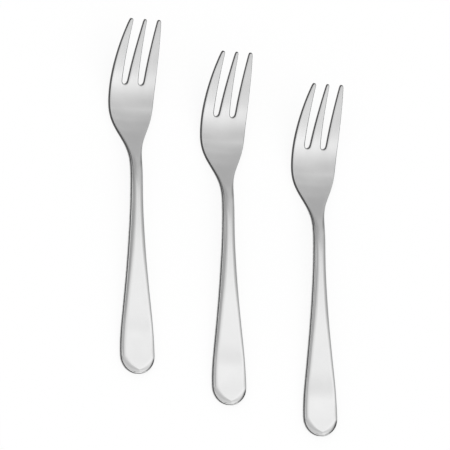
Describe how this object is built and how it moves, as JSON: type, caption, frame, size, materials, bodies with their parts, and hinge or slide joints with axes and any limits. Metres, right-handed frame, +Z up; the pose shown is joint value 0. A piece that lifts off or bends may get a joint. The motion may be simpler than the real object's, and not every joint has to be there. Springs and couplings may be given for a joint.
{
  "type": "pastry fork set",
  "caption": "Slim stainless pastry forks laid side by side, each with tapering tines, a shallow bowl, a crowned stem and a flat handle with a rounded end.",
  "frame": {"origin": "on the table under the middle of the set", "axes": "+Z up, +Y along the forks from the handle ends to the tines, +X to the right across the set"},
  "size_m": [0.1108, 0.1726, 0.0168],
  "materials": {
    "steel": "polished stainless steel with a fine satin grain"
  },
  "bodies": {
    "middle_fork": {"fork_middle": "steel"},
    "left_fork": {"fork_left": "steel"},
    "right_fork": {"fork_right": "steel"}
  },
  "joints": [
    {"name": "left_fork_lift", "type": "slide", "parent": "middle_fork", "child": "left_fork", "axis": [0, 0, 1], "range_m": [0, 0.1]},
    {"name": "right_fork_lift", "type": "slide", "parent": "middle_fork", "child": "right_fork", "axis": [0, 0, 1], "range_m": [0, 0.1]}
  ]
}
